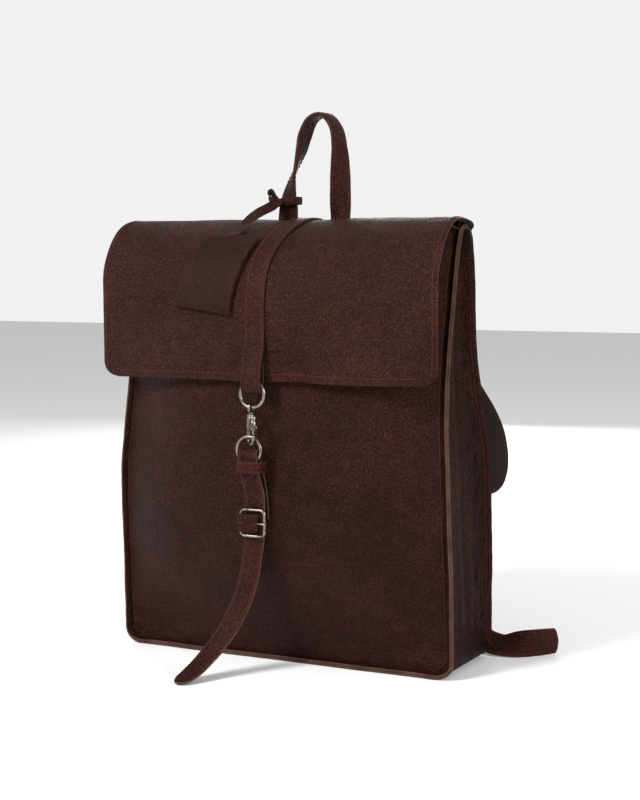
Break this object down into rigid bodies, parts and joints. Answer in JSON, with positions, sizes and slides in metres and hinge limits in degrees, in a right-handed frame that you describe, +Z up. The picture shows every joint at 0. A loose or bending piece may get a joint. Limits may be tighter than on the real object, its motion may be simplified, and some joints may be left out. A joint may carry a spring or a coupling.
{
  "type": "leather backpack",
  "caption": "Leather flap backpack with a carry loop, hanging luggage tag, swivel snap-hook closure on rings and adjustable shoulder straps.",
  "frame": {"origin": "centre of the flat bottom of the bag", "axes": "+Z up from the bottom to the carry loop, -Y towards the flap's front, +X to the right as seen from the front"},
  "size_m": [0.4354, 0.2709, 0.4954],
  "materials": {
    "leather": "oiled full-grain, satin",
    "lining": "woven cotton",
    "foam": "soft closed-cell foam",
    "board": "pressed fibre board",
    "card": "plain paper card",
    "metal": "antique nickel plate"
  },
  "bodies": {
    "bag": {"base_panel": "leather", "base_board": "board", "lining_base": "lining", "front_panel": "leather", "back_panel": "leather", "lining_front": "lining", "lining_back": "lining", "back_foam": "foam", "gusset_left": "leather", "gusset_right": "leather", "lining_side_left": "lining", "lining_side_right": "lining", "divider": "lining", "divider_binding": "leather", "flap_anchor": "leather", "lower_strap": "leather", "strap_keeper": "leather", "buckle_chape": "leather", "strap_yoke": "leather", "shoulder_strap_left": "leather", "shoulder_strap_right": "leather", "rear_chape_left": "leather", "rear_chape_right": "leather", "rear_buckle_left": "metal", "rear_buckle_right": "metal", "adjuster_left": "leather", "adjuster_right": "leather"},
    "flap": {"flap": "leather", "flap_facing": "leather", "flap_strap": "leather"},
    "clasp_loop": {"flap_strap_loop": "leather", "upper_ring": "metal"},
    "hook_eye": {"hook_eye": "metal"},
    "hook": {"hook_body": "metal", "hook_spring": "metal"},
    "hook_bolt": {"hook_bolt": "metal"},
    "lower_ring": {"lower_ring": "metal"},
    "buckle_frame": {"buckle_frame": "metal"},
    "buckle_prong": {"buckle_prong": "metal"},
    "handle": {"handle": "leather", "tag_loop": "leather"},
    "tag": {"tag_strap": "leather", "tag_back": "leather", "tag_card": "card", "tag_front": "leather"},
    "rear_prong_left": {"rear_prong_left": "metal"},
    "rear_prong_right": {"rear_prong_right": "metal"}
  },
  "joints": [
    {"name": "flap_hinge", "type": "hinge", "parent": "bag", "child": "flap", "pos_m": [0, 0.0213, 0.3843], "axis": [-1, 0, 0], "range_deg": [0, 150]},
    {"name": "clasp_loop_bend", "type": "hinge", "parent": "flap", "child": "clasp_loop", "pos_m": [0.002, -0.1024, 0.2796], "axis": [-1, 0, 0], "range_deg": [0, 90]},
    {"name": "hook_eye_swing", "type": "hinge", "parent": "clasp_loop", "child": "hook_eye", "pos_m": [0.0006, -0.1045, 0.2349], "axis": [-1, 0, 0], "range_deg": [0, 104]},
    {"name": "hook_swivel", "type": "hinge", "parent": "hook_eye", "child": "hook", "pos_m": [0.0006, -0.1045, 0.227], "axis": [0, 0, 1], "range_deg": [-80, 3]},
    {"name": "hook_bolt_slide", "type": "slide", "parent": "hook", "child": "hook_bolt", "axis": [0, 0, 1], "range_m": [0, 0.004], "stiffness_N_per_m": 60, "springref_m": -0.004, "deforming": ["hook_spring"]},
    {"name": "lower_ring_play", "type": "hinge", "parent": "bag", "child": "lower_ring", "pos_m": [-0.0015, -0.1045, 0.1864], "axis": [1, 0, 0], "range_deg": [-2, 1]},
    {"name": "buckle_frame_swing", "type": "hinge", "parent": "bag", "child": "buckle_frame", "pos_m": [-0.00915, -0.1054, 0.1344], "axis": [0, 0, -1], "range_deg": [0, 75]},
    {"name": "buckle_prong_swing", "type": "hinge", "parent": "buckle_frame", "child": "buckle_prong", "pos_m": [-0.00915, -0.1054, 0.1344], "axis": [0, 0, -1], "range_deg": [0, 90]},
    {"name": "handle_fold", "type": "hinge", "parent": "flap", "child": "handle", "pos_m": [0.0064, 0.005, 0.4037], "axis": [1, 0, 0], "range_deg": [-75, 0]},
    {"name": "tag_swing", "type": "hinge", "parent": "handle", "child": "tag", "pos_m": [-0.025, -0.0036, 0.4165], "axis": [-1, 0, 0], "range_deg": [0, 60]},
    {"name": "rear_prong_swing_left", "type": "hinge", "parent": "bag", "child": "rear_prong_left", "pos_m": [-0.1, 0.07, 0.1144], "axis": [1, 0, 0], "range_deg": [0, 30]},
    {"name": "rear_prong_swing_right", "type": "hinge", "parent": "bag", "child": "rear_prong_right", "pos_m": [0.1, 0.07, 0.1144], "axis": [1, 0, 0], "range_deg": [0, 30]}
  ]
}
